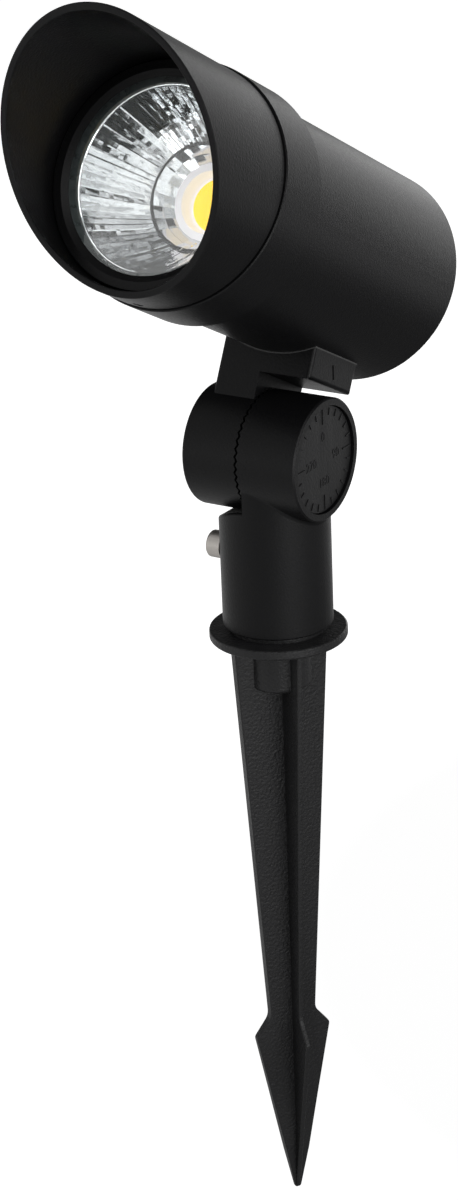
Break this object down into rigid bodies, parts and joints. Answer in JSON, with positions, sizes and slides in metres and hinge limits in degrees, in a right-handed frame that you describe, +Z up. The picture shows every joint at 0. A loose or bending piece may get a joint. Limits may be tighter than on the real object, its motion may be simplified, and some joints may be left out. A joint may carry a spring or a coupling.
{
  "type": "garden spike spotlight",
  "caption": "Adjustable outdoor spotlight on a cruciform ground spike: slant-cut hooded lamp, toothed tilt knuckle with dial, swivel stem and stainless lock screw.",
  "frame": {"origin": "centre of the spike flange's underside, where the lamp meets the ground", "axes": "+Z up along the stem; X along the knuckle's pivot, dial on +X; the lamp faces -Y, tilted 27 degrees up"},
  "size_m": [0.071, 0.1499, 0.4054],
  "materials": {
    "black_powder_coat": "fine satin black powder coat on die-cast aluminium",
    "black_nylon": "grained moulded black plastic",
    "dial_plastic": "satin black moulded plastic with raised ticks",
    "stainless": "turned stainless steel",
    "black_steel": "black oxide steel",
    "black_rubber": "moulded silicone rubber",
    "clear_glass": "clear toughened glass with a ground edge",
    "reflector_metal": "bright anodised, fluted and stepped",
    "plate_aluminium": "turned bare aluminium",
    "thermal_silicone": "soft grey-blue pad",
    "white_board": "white ceramic and white moulded plastic",
    "phosphor": "yellow phosphor gel",
    "white_case": "moulded off-white case",
    "lead_insulation": "smooth insulation"
  },
  "bodies": {
    "spike": {"ground_spike": "black_nylon"},
    "stem": {"stem_casting": "black_powder_coat", "dial_plate": "dial_plastic", "pivot_washer": "stainless", "pivot_spring_washer": "stainless", "pivot_nut": "stainless"},
    "bolt": {"pivot_bolt": "stainless"},
    "lock": {"lock_screw": "stainless"},
    "head": {"tilt_arm": "black_powder_coat", "arm_gasket": "black_rubber", "arm_screws": "stainless", "rear_housing": "black_powder_coat", "body_o_ring": "black_rubber", "front_ring": "black_powder_coat", "glass_lens": "clear_glass", "lens_gasket": "black_rubber", "reflector": "reflector_metal", "mount_plate": "plate_aluminium", "plate_screws": "stainless", "thermal_pad": "thermal_silicone", "led_board": "white_board", "led_emitter": "phosphor", "led_dam_ring": "white_board", "led_holder": "white_board", "holder_screws": "stainless", "led_driver": "white_case", "driver_bracket": "plate_aluminium", "bracket_screws": "stainless", "led_leads": "lead_insulation", "gland_body": "black_nylon", "gland_seal": "black_rubber", "gland_nut": "black_nylon"},
    "hood": {"hood": "black_powder_coat"},
    "grub": {"hood_grub_screw": "black_steel"}
  },
  "joints": [
    {"name": "stem_swivel", "type": "hinge", "parent": "spike", "child": "stem", "pos_m": [0, 0, 0.0047], "axis": [0, 0, 1], "range_deg": [-180, 180]},
    {"name": "lock_screw_travel", "type": "slide", "parent": "stem", "child": "lock", "axis": [-1, 0, 0], "range_m": [0, 0.004]},
    {"name": "head_tilt", "type": "hinge", "parent": "stem", "child": "head", "pos_m": [0, 0, 0.0593], "axis": [-1, 0, 0], "range_deg": [-117, 63]},
    {"name": "pivot_bolt_travel", "type": "slide", "parent": "stem", "child": "bolt", "axis": [-1, 0, 0], "range_m": [0, 0.0015]},
    {"name": "hood_turn", "type": "hinge", "parent": "head", "child": "hood", "pos_m": [0, -0.04769, 0.15183], "axis": [0, -0.891, 0.454], "range_deg": [-180, 180]},
    {"name": "grub_screw_travel", "type": "slide", "parent": "hood", "child": "grub", "axis": [0, -0.454, -0.891], "range_m": [0, 0.0015]}
  ]
}
